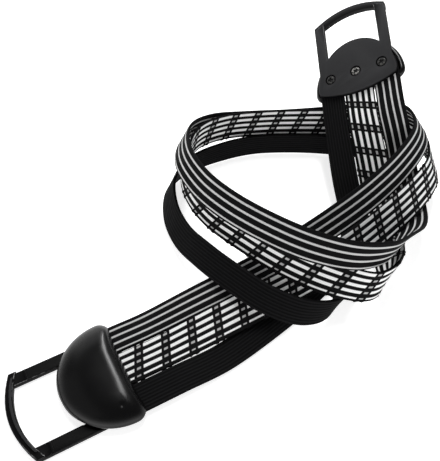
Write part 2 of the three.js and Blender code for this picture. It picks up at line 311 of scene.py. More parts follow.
@dataclass(frozen=True)
class WovenFinish(Finish):
    """Woven elastic: dark ground with light warp rows, twisted yarn and fine weft."""

    name: str
    weave: Weave
    rows: RowPattern
    dashes: DashPattern
    ribs: RibPattern
    width: float
    light: Colour
    ground: Colour = (0.0016, 0.0016, 0.0017)
    ground_lift: float = 5.5
    plain_lift: float = 7.5
    fibre_scale: float = 900.0
    fibre_share: float = 0.3
    yarn_low: float = 0.76
    yarn_high: float = 1.16
    short_shade: float = 0.46
    short_width: float = 0.66
    twist: float = 0.0011
    twist_slope: float = 0.9
    weft: float = 0.0008
    relief: float = 0.00012
    relief_strength: float = 0.7
    relief_shares: tuple[float, float, float] = (0.35, 0.4, 0.25)
    roughness: float = 0.62
    fibre_roughness: float = 0.16
    blotch_scale: float = 60.0
    blotch_roughness: float = 0.1
    specular: float = 0.04

    def paint(self, graph: Graph) -> dict[str, Any]:
        """Yarn colours, painted highlights on the raised ribs and strands, and relief by distance across and along
        the band.

        Args:
            graph: the material's graph.

        Returns:
            Values and links of the surface shader.
        """
        is_plain = self.weave is Weave.PLAIN
        across = graph.attribute("across")
        along = graph.attribute("along")
        rib = self.width / self.ribs.count
        fibre = graph.grain(self.fibre_scale, 3.0)
        fine = across.wave(rib / 3)
        # painted highlight: the ground is paler where the rib relief stands highest, mixed with random fibre tone
        shown = across.wave(rib).calc("POWER", 2.0) if is_plain else fine
        lifted = scaled(self.ground, self.plain_lift if is_plain else self.ground_lift)
        lift = shown * (1 - self.fibre_share) + fibre * self.fibre_share
        colour = graph.mix(lift, self.ground, lifted)
        weft_share, rib_share, fibre_share = self.relief_shares
        height = along.wave(self.weft) * weft_share + fine * rib_share + fibre * fibre_share
        if not is_plain:
            light, mask, strand = self.light_rows(graph, across, along)
            colour = graph.mix(mask, colour, light)
            height = height + (strand - height) * mask
        blotch = graph.grain(self.blotch_scale) * self.blotch_roughness
        return {
            "Base Color": colour,
            "Roughness": self.roughness + fibre * self.fibre_roughness + blotch,
            "Normal": graph.bump(self.relief_strength, self.relief, height),
            "Specular IOR Level": self.specular,
        }

    def light_rows(self, graph: Graph, across: Value, along: Value) -> tuple[Value, Value, Value]:
        """Colour with a painted highlight on the twisted strands, mask and strand relief of the light rows.

        Args:
            graph: the material's graph.
            across: distance across the band.
            along: distance along the band.

        Returns:
            The yarn colour, where it shows, and the height of its twisted strands.
        """
        rows = dict(vars(self.rows))
        strand = (along + across * self.twist_slope).wave(self.twist)
        # painted highlight: yarn paler where its twisted strand stands high, darker in the grooves between
        light = graph.mix(strand, scaled(self.light, self.yarn_low), scaled(self.light, self.yarn_high))
        if self.weave is not Weave.DASHES:
            return light, row_mask(across, rows), strand
        wrap = graph.attribute("wrap")
        middle = self.dashes.tick + self.dashes.short / 2
        is_short = abs(wrap % self.dashes.period - middle).calc("LESS_THAN", middle)
        light = graph.mix(is_short, light, scaled(self.light, self.short_shade))
        narrow = 1 - is_short * (1 - self.short_width)
        for part in ("width", "last_width"):
            rows[part] = narrow * rows[part]
        mask = row_mask(across, rows) * (1 - tick_mask(wrap, self.dashes.numbers()))
        return light, mask, strand


@dataclass(frozen=True)
class MouldedFinish(Finish):
    """Moulded plastic with a fine grain, a paler clouded plate face, a painted highlight on the bar's lip and
    painted edge highlights mixed with rub wear.
    """

    name: str
    colour: Colour
    # paler colour of the plate's face, also used as the painted highlight on the bar's lip
    face: Colour
    # colour of the painted edge highlights, mixed with rub wear
    edge_highlight_and_wear: Colour
    roughness: float
    specular: float
    clouding: float = 0.12
    cloud_scale: float = 45.0
    grain_size: float = 0.0007
    grain_depth: float = 0.00002
    grain_strength: float = 0.6
    wear_and_highlight_scale: float = 420.0
    wear_and_highlight_fade: Pair = (0.35, 0.62)
    wear_roughness: float = 0.08

    def paint(self, graph: Graph) -> dict[str, Any]:
        """Grain, clouds on the plate's face, the painted lip highlight and painted edge highlights mixed with rub
        marks.

        Args:
            graph: the material's graph.

        Returns:
            Values and links of the surface shader.
        """
        cloud = graph.grain(self.cloud_scale, 3.0)
        # painted edge highlights mixed with rub wear, in patches by noise
        worn = graph.attribute("rub") * graph.grain(self.wear_and_highlight_scale, 4.0).fade(*self.wear_and_highlight_fade)
        # the plate face's paler tone, and a painted highlight on the bar's lip
        face_and_lip_highlight = graph.attribute("plate_face_and_lip_highlight")
        dark = graph.mix(face_and_lip_highlight, self.colour, scaled(self.face, 1 - self.clouding))
        pale = graph.mix(face_and_lip_highlight, self.colour, scaled(self.face, 1 + self.clouding))
        return {
            "Base Color": graph.mix(worn, graph.mix(cloud, dark, pale), self.edge_highlight_and_wear),
            "Roughness": self.roughness + (cloud - 0.5) * self.clouding + worn * self.wear_roughness,
            "Normal": graph.bump(self.grain_strength, self.grain_depth, graph.grain(1 / self.grain_size)),
            "Specular IOR Level": self.specular,
        }


@dataclass(frozen=True)
class ScrewFinish(Finish):
    """Blackened steel, bright where the driver has rubbed it."""

    name: str = "blackened_steel"
    black: Colour = (0.006, 0.006, 0.006)
    dull: Colour = (0.055, 0.054, 0.05)
    bright: Colour = (0.50, 0.49, 0.47)
    shade: Colour = (0.0, 0.0, 0.0)
    patch_scale: float = 520.0
    bare_fade: Pair = (0.46, 0.58)
    dull_fade: Pair = (0.45, 0.6)
    coat_metal: float = 0.1
    bare_metal: float = 0.8
    roughness: float = 0.42
    grain_scale: float = 2600.0
    grain_depth: float = 0.00003
    grain_strength: float = 0.4
    grain_roughness: float = 0.2
    bare_polish: float = 0.12

    def paint(self, graph: Graph) -> dict[str, Any]:
        """Black coat with bright patches on a worn head, and painted shade that darkens the cross recess.

        Args:
            graph: the material's graph.

        Returns:
            Values and links of the surface shader.
        """
        patch = graph.grain(self.patch_scale, 3.0)
        bare = graph.attribute("worn") * patch.fade(*self.bare_fade)
        # painted shade: darker and less metallic deeper in the cross recess
        deep = graph.attribute("deep")
        speckle = graph.grain(self.grain_scale)
        coat = graph.mix(patch.fade(*self.dull_fade), self.black, self.dull)
        return {
            "Base Color": graph.mix(deep, graph.mix(bare, coat, self.bright), self.shade),
            "Metallic": (self.coat_metal + bare * self.bare_metal) * (1 - deep),
            "Roughness": self.roughness + speckle * self.grain_roughness - bare * self.bare_polish,
            "Normal": graph.bump(self.grain_strength, self.grain_depth, speckle),
        }


@dataclass(frozen=True)
class FloorFinish(Finish):
    """Pale matt studio floor, lit from below like a light table."""

    name: str = "studio_floor"
    colour: Colour = (0.8, 0.8, 0.8)
    glow_colour: Colour = (1.0, 1.0, 1.0)
    glow: float = 0.75
    roughness: float = 0.9
    specular: float = 0.1

    def paint(self, graph: Graph) -> dict[str, Any]:
        """Even pale colour; nothing is added to the material's graph."""
        return {
            "Base Color": opaque(self.colour),
            "Roughness": self.roughness,
            "Specular IOR Level": self.specular,
            "Emission Color": opaque(self.glow_colour),
            "Emission Strength": self.glow,
        }


def new_object(name: str, vertices: Any, faces: Sequence[Sequence[int]]) -> bpy.types.Object:
    """Links a mesh object at the origin.

    Args:
        name: the piece's name.
        vertices: points in metres.
        faces: corner numbers of each face.

    Returns:
        The new object.
    """
    mesh = bpy.data.meshes.new(name)
    mesh.from_pydata([tuple(v) for v in vertices], [], [tuple(f) for f in faces])
    obj = bpy.data.objects.new(name, mesh)
    bpy.context.scene.collection.objects.link(obj)
    return obj


def set_attribute(mesh: bpy.types.Mesh, name: str, values: np.ndarray) -> None:
    """Stores one number or one vector for each point of a mesh.

    Args:
        mesh: the mesh.
        name: the attribute's name.
        values: one number or one row for each point.
    """
    is_vector = values.ndim == 2
    attribute = mesh.attributes.new(name, "FLOAT_VECTOR" if is_vector else "FLOAT", "POINT")
    attribute.data.foreach_set("vector" if is_vector else "value", values.astype(np.float32).ravel())


def settle(obj: bpy.types.Object) -> None:
    """Turns an object with its modifiers into a plain mesh.

    Args:
        obj: the piece.
    """
    depsgraph = bpy.context.evaluated_depsgraph_get()
    mesh = bpy.data.meshes.new_from_object(
        obj.evaluated_get(depsgraph), preserve_all_data_layers=True, depsgraph=depsgraph
    )
    obj.modifiers.clear()
    rough = obj.data
    obj.data = mesh
    bpy.data.meshes.remove(rough)
    mesh.name = obj.name


def recalculate(obj: bpy.types.Object) -> None:
    """Points the faces of a closed piece outwards and splits its large caps.

    Args:
        obj: the piece.
    """
    work = bmesh.new()
    work.from_mesh(obj.data)
    bmesh.ops.recalc_face_normals(work, faces=work.faces)
    caps = [f for f in work.faces if len(f.verts) > 4]
    bmesh.ops.triangulate(work, faces=caps)
    work.to_mesh(obj.data)
    work.free()


def smooth(obj: bpy.types.Object, angle: float) -> None:
    """Shades a piece smoothly, with sharp edges past an angle in degrees."""
    obj.data.shade_smooth()
    obj.data.set_sharp_from_angle(angle=math.radians(angle))


def dress(obj: bpy.types.Object, material: bpy.types.Material) -> None:
    """Gives a piece one material."""
    obj.data.materials.clear()
    obj.data.materials.append(material)


def report(obj: bpy.types.Object) -> None:
    """Logs a finished piece."""
    obj.data.calc_loop_triangles()
    log.info("%s: %d triangles", obj.name, len(obj.data.loop_triangles))


def tube_faces(rings: int, count: int, inward: bool) -> list[tuple[int, ...]]:
    """Faces of a tube of rings with a cap at each end.

    Args:
        rings: number of rings.
        count: points in each ring.
        inward: whether the corners go round the other way.

    Returns:
        Corner numbers of each face.
    """
    faces: list[tuple[int, ...]] = []
    for start in range(0, (rings - 1) * count, count):
        for i in range(count):
            a, b = start + i, start + (i + 1) % count
            c, d = b + count, a + count
            faces.append((a, d, c, b) if inward else (a, b, c, d))
    first = tuple(range(count))
    last = tuple(range((rings - 1) * count, rings * count))
    faces += (first, last[::-1]) if inward else (first[::-1], last)
    return faces


class NodeMaker:
    """A Geometry Nodes group with named inputs, run once on a piece."""

    def __init__(self, name: str, inputs: Mapping[str, str]) -> None:
        """Starts a group.

        Args:
            name: the group's name.
            inputs: socket type of each named input besides the geometry and the material.
        """
        self.tree = bpy.data.node_groups.new(name, "GeometryNodeTree")
        sockets = {"Geometry": "NodeSocketGeometry", **inputs, "Material": "NodeSocketMaterial"}
        for label, kind in sockets.items():
            self.tree.interface.new_socket(label, in_out="INPUT", socket_type=kind)
        self.tree.interface.new_socket("Geometry", in_out="OUTPUT", socket_type="NodeSocketGeometry")
        self.graph = Graph(self.tree)
        self.source = self.graph.add("NodeGroupInput")

    def read(self, label: str) -> Value:
        """One named input of the group."""
        return self.source.out(label)

    def named(self, attribute: str, kind: str = "FLOAT") -> Value:
        """A named attribute of the geometry."""
        return self.graph.add("GeometryNodeInputNamedAttribute", {"Name": attribute}, data_type=kind)

    def close(self, geometry: Value) -> None:
        """Realizes instances, sets the material and ends the group.

        Args:
            geometry: what the group has made.
        """
        real = self.graph.add("GeometryNodeRealizeInstances", {"Geometry": geometry})
        sockets = {"Geometry": real, "Material": self.read("Material")}
        dressed = self.graph.add("GeometryNodeSetMaterial", sockets)
        self.graph.add("NodeGroupOutput", {"Geometry": dressed})

    def run(self, obj: bpy.types.Object, values: Mapping[str, Any]) -> None:
        """Runs the group on an object and keeps the result as its mesh.

        Args:
            obj: the piece.
            values: a value for each named input and for Material.
        """
        modifier = obj.modifiers.new(self.tree.name, "NODES")
        modifier.node_group = self.tree
        for item in self.tree.interface.items_tree:
            if item.in_out == "INPUT" and item.name in values:
                modifier[item.identifier] = values[item.name]
        settle(obj)


@dataclass(frozen=True)
class ClampPlace:
    """Where a clamp lies: its plate's outer face and its three axes."""

    body: str
    origin: Vector
    across: Vector
    out: Vector
    dome: Vector

    @classmethod
    def from_frame(cls, body: str, mount: str, out: Vector) -> "ClampPlace":
        """Reads a clamp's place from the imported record.

        Args:
            body: the body that the clamp belongs to.
            mount: the mount on its plate's outer face.
            out: the direction out to its hook.

        Returns:
            The clamp's place.
        """
        face = next(m for m in frame["record"]["mounts"] if m["name"] == mount)
        dome = -Vector(face["axis"]).normalized()
        out = out.normalized()
        return cls(body, Vector(face["pos_m"]), out.cross(dome).normalized(), out, dome)

    def matrix(self) -> Matrix:
        """From the clamp's own frame to the part's."""
        turn = Matrix((self.across, self.out, self.dome)).transposed().to_4x4()
        return Matrix.Translation(self.origin) @ turn


@dataclass(frozen=True)
class ClampSizes:
    """Sizes that the pieces of a clamp share, in metres in the clamp's own frame."""

    half: float = 36.2 * MM
    centre: float = -19.5 * MM
    reach: float = 36.2 * MM
    mouth: float = -28.7 * MM
    rim: float = 3.3 * MM
    ceiling: float = 5.8 * MM
    slot_half: float = 31.9 * MM
    slot_back: float = -19.7 * MM
    screw_row: float = -11.5 * MM
    screw_pitch: float = 20.6 * MM
    band_level: float = 4.4 * MM
    band_end: float = 8.5 * MM
    band_leave: float = 30 * MM


def arc(centre: Pair, radii: Pair, start: float, end: float, count: int) -> np.ndarray:
    """Points on an ellipse between two angles in degrees, one row each."""
    turn = np.radians(np.linspace(start, end, count))
    return np.column_stack((centre[0] + radii[0] * np.cos(turn), centre[1] + radii[1] * np.sin(turn)))


def even_loop(points: np.ndarray, count: int) -> np.ndarray:
    """Resamples a closed outline to evenly spaced points.

    Args:
        points: corners of the outline.
        count: number of points wanted.

    Returns:
        One row for each point.
    """
    closed = np.vstack((points, points[:1]))
    steps = np.linalg.norm(np.diff(closed, axis=0), axis=1)
    reached = np.concatenate(([0.0], np.cumsum(steps)))
    wanted = np.linspace(0.0, reached[-1], count, endpoint=False)
    return np.column_stack([np.interp(wanted, reached, closed[:, k]) for k in range(2)])


@dataclass
class ClampPiece:
    """A rigid piece of one clamp."""

    slot: ClassVar[str] = ""
    place: ClampPlace
    sizes: ClampSizes
    name: str
    nodes: tuple[str, ...]

    def build(self, material: bpy.types.Material) -> bpy.types.Object:
        """The dressed piece in its place."""
        raise NotImplementedError

    def finish(self, material: bpy.types.Material) -> None:
        """Builds the piece, rides it on its body and hides the parts it replaces.

        Args:
            material: the piece's material.
        """
        obj = self.build(material)
        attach(obj, self.place.body)
        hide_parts(*self.nodes)
        report(obj)


@dataclass
class DomeCover(ClampPiece):
    """Hollow moulded cover over the clamped band ends."""

    slot: ClassVar[str] = "dome_cover"
    height: float = 15 * MM
    skirt: float = 1.2 * MM
    wall: float = 3.4 * MM
    mouth: float = -27.2 * MM
    corner: float = 17 * MM
    low_corner: float = 9 * MM
    corner_rate: float = 1.6
    recess: float = 1.8 * MM
    crest: float = -14.5 * MM
    ridge: float = 0.33
    ridge_end: float = 0.995
    fullness: float = 0.8
    lip: float = 0.3 * MM
    lip_gap: float = 0.06 * MM
    roll: float = 3.0 * MM
    roll_steps: int = 9
    mark: Pair = (-25.2 * MM, -14.2 * MM)
    mark_radius: float = 1.1 * MM
    mark_depth: float = 0.45 * MM
    points: int = 200
    back_points: int = 160
    corner_points: int = 24
    rings: int = 44
    crease: float = 50.0

    def plan(self, inset: float, corner: float) -> np.ndarray:
        """Outline of the cover seen from above.

        Args:
            inset: how far the outline is drawn in.
            corner: length of its corners at the mouth.

        Returns:
            One row for each point.
        """
        s = self.sizes
        half = s.half - inset
        corner = max(corner - inset, MM)
        deep = s.centre - self.mouth - inset
        back = arc((0.0, s.centre), (half, s.reach - inset), 0, 180, self.back_points)
        left = arc((corner - half, s.centre), (corner, deep), 180, 270, self.corner_points)
        right = arc((half - corner, s.centre), (corner, deep), 270, 360, self.corner_points)
        outline = even_loop(np.vstack((back, left, right)), self.points)
        drawn = np.clip(1 - (outline[:, 0] / s.slot_half) ** 4, 0.0, 1.0) * (outline[:, 1] < s.slot_back)
        outline[:, 1] += self.recess * drawn
        return outline

    def ring(self, outline: np.ndarray, turn: np.ndarray, level: np.ndarray) -> np.ndarray:
        """One ring of a skin, drawn in towards the ridge.

        Args:
            outline: the skin's plan.
            turn: how far each point has gone round from the rim to the ridge.
            level: height of each point.

        Returns:
            One row for each point.
        """
        narrow = self.ridge + (1 - self.ridge) * np.cos(turn)
        y = self.crest + (outline[:, 1] - self.crest) * np.cos(turn) ** self.fullness
        return np.column_stack((outline[:, 0] * narrow, y, level))

    def hull(self, inset: float) -> list[np.ndarray]:
        """Rings of one skin, from its lower edge up to the ridge.

        Args:
            inset: how far the skin lies inside the outer one.

        Returns:
            The points of each ring.
        """
        s = self.sizes
        plan = self.plan(inset, self.low_corner)
        high = self.plan(inset, self.corner)
        at_mouth = (np.abs(plan[:, 0]) < s.slot_half) & (plan[:, 1] < s.slot_back)
        low = np.where(at_mouth, s.ceiling, s.rim)
        shoulder = s.rim + self.skirt
        rise = self.height - inset - shoulder
        is_outer = inset == 0.0
        roll = np.where(at_mouth, self.lip, self.roll if is_outer else self.lip)
        begin = np.arcsin(np.clip((low + roll + self.lip_gap - shoulder) / rise, 0.0, 1.0))
        pulled = self.plan(inset + self.roll if is_outer else inset - self.roll, self.low_corner)
        rings = []
        for angle in np.linspace(0.0, math.pi / 2, self.roll_steps):
            pull = (1 - math.sin(angle)) * roll / self.roll
            outline = plan + (pulled - plan) * pull[:, None]
            rings.append(self.ring(outline, begin, low + roll * (1 - math.cos(angle))))
        last = self.ridge_end * math.pi / 2
        for share in np.linspace(0.0, 1.0, self.rings):
            turn = begin + (last - begin) * share
            outline = plan + (high - plan) * min(1.0, self.corner_rate * share)
            rings.append(self.ring(outline, turn, shoulder + rise * np.sin(turn)))
        return rings

    def press_mark(self, skin: np.ndarray) -> None:
        """Presses the small moulding mark into a ring of the outer skin."""
        gap = np.hypot(skin[:, 0] - self.mark[0], skin[:, 1] - self.mark[1])
        skin[:, 2] -= self.mark_depth * np.exp(-((gap / self.mark_radius) ** 2))

    def build(self, material: bpy.types.Material) -> bpy.types.Object:
        """The shell: inner skin, rim and outer skin as one closed surface.

        Args:
            material: the cover's material.

        Returns:
            The dressed cover in its place.
        """
        outer = self.hull(0.0)
        for skin in outer[self.roll_steps:]:
            self.press_mark(skin)
        rings = self.hull(self.wall)[::-1] + outer
        obj = new_object(self.name, np.vstack(rings), tube_faces(len(rings), self.points, True))
        obj.data.transform(self.place.matrix())
        recalculate(obj)
        smooth(obj, self.crease)
        dress(obj, material)
        return obj


@dataclass
class HookMoulding(ClampPiece):
    """Plate, arms and crossbar in one moulding, with every edge rounded."""

    slot: ClassVar[str] = "hook_frame"
    edge: float = 0.35 * MM
    edge_steps: int = 3
    edge_angle: float = 40.0
    merge: float = 0.002 * MM
    flat: float = 1.0
    crease: float = 38.0
    face_depth: float = 0.8 * MM
    face_from: float = 0.4
    face_fade: float = 0.5
    lip_level: float = 6.9 * MM
    lip_facing: float = -0.5
    strip: float = 0.4 * MM
    full_bend: float = 0.5
    bar_from: float = 27 * MM
    bar_fade: float = 6 * MM
    # share of the painted edge highlight with rub wear kept on the arms, away from the bar
    arm_edge_highlight_and_wear: float = 0.05

    def build(self, material: bpy.types.Material) -> bpy.types.Object:
        """A merged copy of the solid, with its edges rounded and its faces cleaned.

        Args:
            material: the moulding's material.

        Returns:
            The dressed moulding in its place.
        """
        work = bmesh.new()
        work.from_mesh(frame["nodes"][self.nodes[0]].data)
        bmesh.ops.remove_doubles(work, verts=work.verts, dist=self.merge)
        limit = math.radians(self.flat)
        bmesh.ops.dissolve_limit(work, angle_limit=limit, verts=work.verts, edges=work.edges)
        obj = new_object(self.name, [], [])
        work.to_mesh(obj.data)
        work.free()
        bevel = obj.modifiers.new("rounded_edges", "BEVEL")
        bevel.width = self.edge
        bevel.segments = self.edge_steps
        bevel.limit_method = "ANGLE"
        bevel.angle_limit = math.radians(self.edge_angle)
        bevel.use_clamp_overlap = True
        settle(obj)
        smooth(obj, self.crease)
        self.mark_face_and_edge_highlights(obj)
        dress(obj, material)
        return obj

    def mark_face_and_edge_highlights(self, obj: bpy.types.Object) -> None:
        """Stores how far each point carries the painted edge highlight with rub wear, and if it is on the plate's
        face or on the bar's lip, whose paler colour is a painted highlight.

        Args:
            obj: the moulding with its edges rounded.
        """
        inverse = self.place.matrix().inverted()
        turn = inverse.to_3x3()
        local = np.array([inverse @ v.co for v in obj.data.vertices])
        facing = np.array([-(turn @ v.normal).z for v in obj.data.vertices])
        bend = np.zeros(len(local))
        work = bmesh.new()
        work.from_mesh(obj.data)
        for v in work.verts:
            angles = [e.calc_face_angle(0.0) for e in v.link_edges]
            wide = any(2 * f.calc_area() > self.strip * f.calc_perimeter() for f in v.link_faces)
            bend[v.index] = 0.0 if wide else max(angles, default=0.0)
        work.free()
        at_bar = np.clip((local[:, 1] - self.bar_from) / self.bar_fade, 0.0, 1.0)
        convex = np.clip(bend / self.full_bend, 0.0, 1.0)
        level = np.clip((self.face_depth - local[:, 2]) / (0.5 * self.face_depth), 0.0, 1.0)
        plate = np.clip((facing - self.face_from) / self.face_fade, 0.0, 1.0) * level
        # painted highlight: the bar's lip is given the plate face's paler colour
        lip_highlight = (local[:, 2] > self.lip_level) & (facing < self.lip_facing)
        set_attribute(obj.data, "plate_face_and_lip_highlight", np.maximum(plate, lip_highlight))
        # painted highlight on the narrow rounded edges, strongest at the bar, mixed with rub wear
        set_attribute(obj.data, "rub", convex * (self.arm_edge_highlight_and_wear + (1 - self.arm_edge_highlight_and_wear) * at_bar))


@dataclass
class ScrewSet(ClampPiece):
    """Three cross-head screws in a row across the plate of a clamp."""

    slot: ClassVar[str] = "screw"
    maker: NodeMaker
    worn_one: int
    seed: int = 7
    head: float = 6.5 * MM
    face: float = 0.1 * MM
    under: float = 1.3 * MM
    crown: tuple[Pair, ...] = (
        (1.1 * MM, -0.09 * MM), (0.6 * MM, -0.05 * MM), (0.2 * MM, 0.06 * MM), (0.0, 0.45 * MM),
    )
    shank: float = 2.6 * MM
    length: float = 11 * MM
    tip: float = 1.2 * MM
    point: float = 1.0 * MM
    cross_reach: float = 2.35 * MM
    cross_half: float = 0.75 * MM
    cross_depth: float = 1.05 * MM
    cross_floor: float = 0.82
    shade_depth: float = 0.42 * MM
    sides: int = 48
    crease: float = 32.0

    def one_screw(self) -> bpy.types.Object:
        """A single screw: recessed head, shank and point, head down.

        Returns:
            The screw at the origin.
        """
        work = bmesh.new()
        radius = self.head / 2
        profile = [(radius - inset, self.face + rise) for inset, rise in self.crown]
        profile += [
            (radius, self.under),
            (self.shank / 2, self.under),
            (self.shank / 2, self.length - self.tip),
            (self.point / 2, self.length),
        ]
        turns = [2 * math.pi * i / self.sides for i in range(self.sides)]
        circle = [(math.cos(t), math.sin(t)) for t in turns]
        rings = [[work.verts.new((r * x, r * y, z)) for x, y in circle] for r, z in profile]
        for low, high in zip(rings, rings[1:]):
            for i in range(self.sides):
                j = (i + 1) % self.sides
                work.faces.new((low[i], low[j], high[j], high[i]))
        work.faces.new(rings[-1])
        self.cross(work, rings[0], profile[0][1])
        bmesh.ops.recalc_face_normals(work, faces=work.faces)
        obj = new_object(self.name, [], [])
        work.to_mesh(obj.data)
        work.free()
        levels = np.array([v.co.z for v in obj.data.vertices])
        radii = np.array([v.co.xy.length for v in obj.data.vertices])
        in_cross = (radii < self.cross_reach) & (levels < self.length / 2)
        # painted shade, growing with depth inside the cross recess
        depth = np.clip((levels - self.face) / self.shade_depth, 0.0, 1.0)
        set_attribute(obj.data, "deep", depth * in_cross)
        smooth(obj, self.crease)
        return obj

    def cross(self, work: bmesh.types.BMesh, rim: list[bmesh.types.BMVert], level: float) -> None:
        """Closes the head's face round a cross recess that narrows towards its floor.

        Args:
            work: the screw's mesh.
            rim: the ring that bounds the face.
            level: the face's height.
        """
        bottom = level + self.cross_depth
        mouth = [work.verts.new((x, y, level)) for x, y in self.cross_outline(1.0)]
        floor = [work.verts.new((x, y, bottom)) for x, y in self.cross_outline(self.cross_floor)]
        loop = rim + mouth
        corners = [[v.co for v in rim], [v.co for v in mouth]]
        for triangle in tessellate_polygon(corners):
            work.faces.new([loop[i] for i in triangle])
        for i in range(len(mouth)):
            j = (i + 1) % len(mouth)
            work.faces.new((mouth[i], mouth[j], floor[j], floor[i]))
        work.faces.new(floor)

    def cross_outline(self, scale: float) -> list[Pair]:
        """The twelve corners of the cross.

        Args:
            scale: size of this outline beside that of the mouth.

        Returns:
            The corners in order.
        """
        reach = self.cross_reach * scale
        half = self.cross_half * scale
        arm = ((reach, -half), (reach, half), (half, half))
        corners: list[Pair] = []
        for c, s in ((1, 0), (0, 1), (-1, 0), (0, -1)):
            corners.extend((x * c - y * s, x * s + y * c) for x, y in arm)
        return corners

    @staticmethod
    def row_maker() -> NodeMaker:
        """Group that sets a screw out in a row, each turned by chance, one of them worn.

        Returns:
            The group.
        """
        inputs = {
            "Count": "NodeSocketInt",
            "Pitch": "NodeSocketFloat",
            "Turn Seed": "NodeSocketInt",
            "Worn Screw": "NodeSocketInt",
        }
        maker = NodeMaker("screw_row", inputs)
        graph = maker.graph
        pitch = maker.read("Pitch")
        start = graph.add("ShaderNodeCombineXYZ", {"X": pitch * -1.0})
        step = graph.add("ShaderNodeCombineXYZ", {"X": pitch})
        sockets = {"Count": maker.read("Count"), "Start Location": start, "Offset": step}
        line = graph.add("GeometryNodeMeshLine", sockets)
        gap = abs(graph.add("GeometryNodeInputIndex") - maker.read("Worn Screw"))
        sockets = {"Geometry": line, "Name": "worn", "Value": gap.calc("LESS_THAN", 0.5)}
        marked = graph.add("GeometryNodeStoreNamedAttribute", sockets, data_type="FLOAT", domain="POINT")
        sockets = {2: 0.0, 3: math.pi / 2, "Seed": maker.read("Turn Seed")}
        turn = graph.add("FunctionNodeRandomValue", sockets, 1, data_type="FLOAT")
        turned = graph.add("ShaderNodeCombineXYZ", {"Z": turn})
        sockets = {"Points": marked, "Instance": maker.read("Geometry"), "Rotation": turned}
        maker.close(graph.add("GeometryNodeInstanceOnPoints", sockets))
        return maker

    def build(self, material: bpy.types.Material) -> bpy.types.Object:
        """The row of screws.

        Args:
            material: the screws' material.

        Returns:
            The dressed screws in their place.
        """
        obj = self.one_screw()
        values = {
            "Count": len(self.nodes),
            "Pitch": self.sizes.screw_pitch,
            "Turn Seed": self.seed,
            "Worn Screw": self.worn_one,
            "Material": material,
        }
        self.maker.run(obj, values)
        lift = Matrix.Translation((0.0, self.sizes.screw_row, 0.0))
        obj.data.transform(self.place.matrix() @ lift)
        return obj


# Laid route of each band between the clamps: x, y, z in millimetres and roll in degrees
STRIPED_ROUTE: tuple[Station, ...] = (
    (82, 21.4, 8, 7), (114, 21, 12, 13), (150, 20, 19, 22), (190, 21, 29, 30), (225, 25, 37, 36),
    (258, 34, 43, 42), (286.5, 49, 45.5, 47), (300, 70, 42.5, 58), (298, 91, 35, 80),
    (280, 107, 28, 96), (253, 119.5, 25.5, 101), (223, 132, 25.5, 99), (193, 143, 28, 94),
    (163, 148, 34, 84), (138, 138.5, 42, 67), (122, 112, 48.5, 54), (118.5, 80, 52, 47),
    (123, 49, 56, 42), (135, 20, 57, 42), (152, -5, 55.5, 50), (174, -22, 51.3, 66), (199, -26, 44, 92),
    (221, -17, 33.5, 118), (242.5, -4.4, 22.2, 143), (258, 12.6, 16, 158), (266.8, 32.4, 21, 153),
    (273.2, 52.1, 36, 149),
)
DASHED_ROUTE: tuple[Station, ...] = (
    (82, -0.4, 6.6, 8), (114, -0.2, 9, 15), (150, -1, 13, 22), (190, 0, 20, 32), (225, 5, 27, 40),
    (258, 14, 30.5, 47), (288, 30, 28.5, 58), (304, 57, 24, 75), (294.5, 85, 23.5, 93),
    (265, 105.5, 25, 103), (233.5, 121.8, 26.5, 99), (201.5, 135.5, 28, 96), (172, 142.5, 30.5, 93),
    (146.5, 138, 33, 86), (128, 121, 31.5, 75), (121, 99, 29.5, 64), (122, 71, 29.5, 55),
    (131, 41, 31, 45), (144, 9, 32, 44), (161, -18, 32, 52), (182, -34, 28, 74), (202, -29, 21.5, 104),
    (218, -12, 13, 144), (232, 9, 8.5, 168), (243.5, 31, 11, 165), (251, 53.5, 27, 154),
)
BLACK_ROUTE: tuple[Station, ...] = (
    (82, -21.2, 2.4, 1), (114, -16, 2, 1), (145, -9, 2, 1), (180, 1.5, 2, 2), (212, 10, 2, 3),
    (243, 20, 2.8, 7), (266, 37, 8, 40), (279, 60, 10.8, 80), (271, 85, 10.4, 91),
    (247, 104.5, 10.4, 91), (221, 120.5, 10.4, 91), (193.5, 133, 10.4, 91), (165, 138, 10.4, 90),
    (138, 136.5, 10.4, 82), (116, 124, 10.2, 66), (104, 100, 9.8, 56), (100, 72, 13, 48),
    (103, 45, 19, 40), (110, 19, 22, 38), (122, -8, 21.5, 42), (140, -25, 17, 64), (162, -27, 11, 100),
    (184, -12, 10, 150), (206, 10.5, 7, 176), (222, 35.5, 8.5, 174), (231, 60.3, 21, 160),
)


def unit(rows: np.ndarray) -> np.ndarray:
    """Rows scaled to unit length."""
    return rows / np.linalg.norm(rows, axis=1, keepdims=True)


